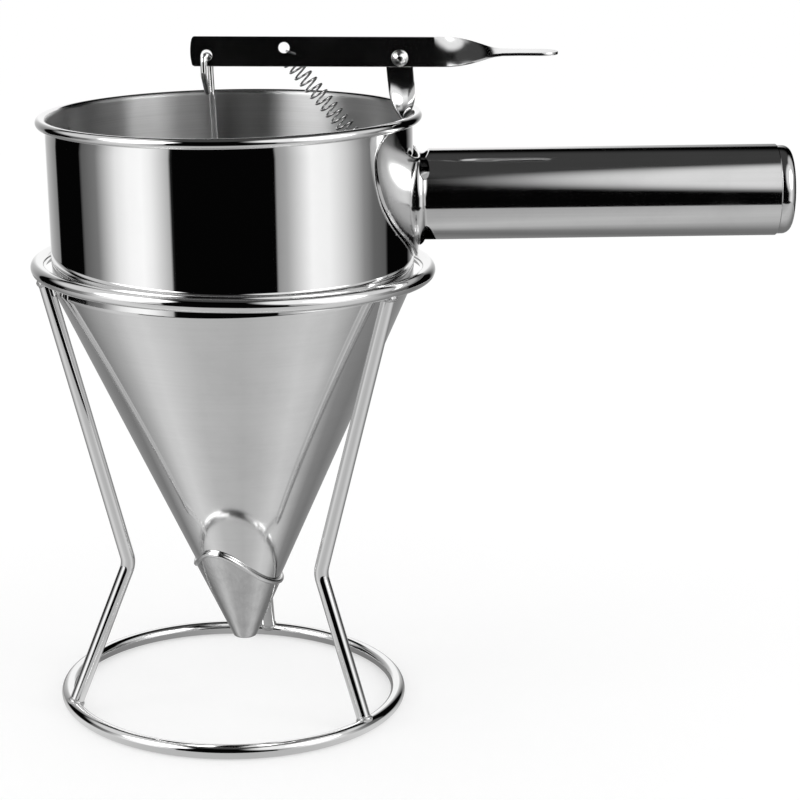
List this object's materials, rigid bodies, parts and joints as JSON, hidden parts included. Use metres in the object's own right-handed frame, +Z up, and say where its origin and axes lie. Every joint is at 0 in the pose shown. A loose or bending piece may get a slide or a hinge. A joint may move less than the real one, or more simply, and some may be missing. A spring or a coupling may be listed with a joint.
{
  "type": "pancake batter dispenser",
  "caption": "Hand-held batter funnel with a tube handle, a thumb lever, a return spring and a stopper rod, standing in a three-legged wire stand.",
  "frame": {"origin": "centre of the stand's base ring on the worktop", "axes": "+Z up, +X towards the handle, +Y away from the side with the pivot screw's head"},
  "size_m": [0.259, 0.1347, 0.236],
  "materials": {
    "mirror_sheet": "mirror-polished stainless steel",
    "satin_sheet": "satin stainless steel",
    "polished_wire": "polished stainless steel wire",
    "weld_metal": "cleaned weld",
    "plated_hardware": "polished",
    "spring_wire": "drawn spring wire"
  },
  "bodies": {
    "stand": {"stand_base_ring": "polished_wire", "stand_top_ring": "polished_wire", "stand_leg_left": "polished_wire", "stand_leg_right": "polished_wire", "stand_leg_back": "polished_wire", "stand_welds": "weld_metal"},
    "funnel": {"hopper_wall": "mirror_sheet", "hopper_cone": "satin_sheet", "nozzle_tip": "satin_sheet", "handle_bracket": "mirror_sheet", "handle_tube": "mirror_sheet", "handle_end_cap": "mirror_sheet", "lever_post": "mirror_sheet", "pivot_screw": "plated_hardware", "pivot_washer": "plated_hardware", "pivot_nut": "plated_hardware", "return_spring": "spring_wire"},
    "lever": {"lever": "mirror_sheet"},
    "stopper": {"stopper_rod": "polished_wire", "stopper_plug": "satin_sheet"}
  },
  "joints": [
    {"name": "funnel_lift", "type": "slide", "parent": "stand", "child": "funnel", "axis": [0, 0, 1], "range_m": [0, 0.16]},
    {"name": "lever_pivot", "type": "hinge", "parent": "funnel", "child": "lever", "pos_m": [0.05549, 0, 0.22878], "axis": [0, 1, 0], "range_deg": [0, 30], "stiffness_Nm_per_rad": 0.7, "springref_deg": -6.88, "deforming": ["return_spring"]},
    {"name": "stopper_swing", "type": "hinge", "parent": "lever", "child": "stopper", "pos_m": [-0.00911, -0.0018, 0.22858], "axis": [0, 1, 0], "range_deg": [-30, 0]}
  ],
  "couplings": [
    {"joint": "stopper_swing", "follows": "lever_pivot", "ratio": -0.95}
  ]
}
